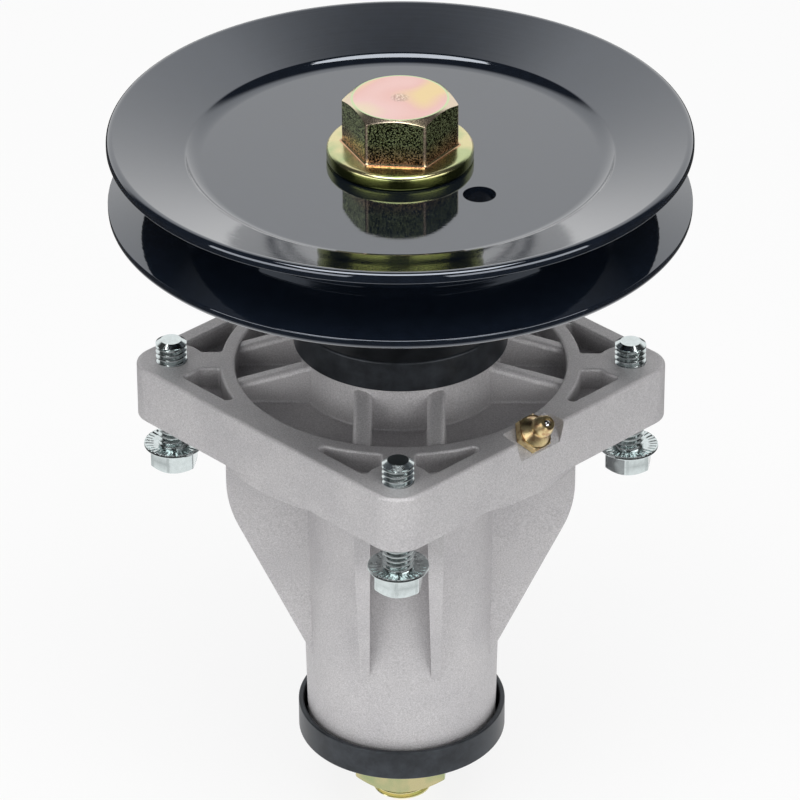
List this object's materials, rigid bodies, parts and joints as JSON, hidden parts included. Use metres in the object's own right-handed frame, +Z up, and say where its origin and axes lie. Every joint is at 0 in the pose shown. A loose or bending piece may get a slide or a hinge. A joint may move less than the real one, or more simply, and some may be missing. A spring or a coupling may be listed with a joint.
{
  "type": "mower deck spindle",
  "caption": "Mower deck spindle: a cast housing that bolts to the deck carries a vertical bearing-mounted bolt, turned by a V-belt pulley at its top.",
  "frame": {"origin": "on the spindle axis, in the plane of the square plate that seats on the deck", "axes": "+Z up along the spindle axis to the pulley; the plate's corners lie on the X and Y axes; the grease fitting faces half way between +X and -Y"},
  "size_m": [0.146, 0.146, 0.2067],
  "materials": {
    "cast_aluminium": "as-cast, shot-blasted",
    "zinc_plated_steel": "bright zinc plated",
    "yellow_zinc_steel": "yellow chromated zinc",
    "black_paint": "gloss black powder coat",
    "black_cup_steel": "satin black",
    "spacer_steel": "black oxide",
    "bearing_steel": "ground and polished",
    "cage_polymer": "moulded polyamide",
    "seal_rubber": "moulded nitrile",
    "fitting_brass": "yellow plated",
    "spring_steel": "drawn wire"
  },
  "bodies": {
    "housing_body": {"housing": "cast_aluminium", "deck_screws": "zinc_plated_steel", "grease_fitting_body": "fitting_brass", "grease_fitting_spring": "spring_steel", "upper_bearing_outer_race": "bearing_steel", "upper_bearing_top_seal": "seal_rubber", "upper_bearing_bottom_seal": "seal_rubber", "lower_bearing_outer_race": "bearing_steel", "lower_bearing_top_seal": "seal_rubber", "lower_bearing_bottom_seal": "seal_rubber"},
    "rotor": {"spindle_bolt": "yellow_zinc_steel", "bottom_nut": "yellow_zinc_steel", "pulley_upper_half": "black_paint", "pulley_lower_half": "black_paint", "pulley_spacer": "spacer_steel", "inner_spacer": "spacer_steel", "upper_dust_cup": "black_cup_steel", "lower_dust_cup": "black_cup_steel", "upper_bearing_inner_race": "bearing_steel", "lower_bearing_inner_race": "bearing_steel"},
    "upper_ball_set": {"upper_bearing_balls": "bearing_steel", "upper_bearing_cage": "cage_polymer"},
    "lower_ball_set": {"lower_bearing_balls": "bearing_steel", "lower_bearing_cage": "cage_polymer"},
    "check_ball": {"grease_fitting_ball": "bearing_steel"}
  },
  "joints": [
    {"name": "spindle_spin", "type": "hinge", "parent": "housing_body", "child": "rotor", "pos_m": [0, 0, 0], "axis": [0, 0, 1], "continuous": true},
    {"name": "upper_ball_orbit", "type": "hinge", "parent": "housing_body", "child": "upper_ball_set", "pos_m": [0, 0, 0.0213], "axis": [0, 0, 1], "continuous": true},
    {"name": "lower_ball_orbit", "type": "hinge", "parent": "housing_body", "child": "lower_ball_set", "pos_m": [0, 0, -0.0867], "axis": [0, 0, 1], "continuous": true},
    {"name": "check_ball_slide", "type": "slide", "parent": "housing_body", "child": "check_ball", "axis": [-0.4912, 0.4912, -0.7193], "range_m": [0, 0.0006], "stiffness_N_per_m": 300, "deforming": ["grease_fitting_spring"]}
  ],
  "couplings": [
    {"joint": "upper_ball_orbit", "follows": "spindle_spin", "ratio": 0.38163},
    {"joint": "lower_ball_orbit", "follows": "spindle_spin", "ratio": 0.38163}
  ]
}
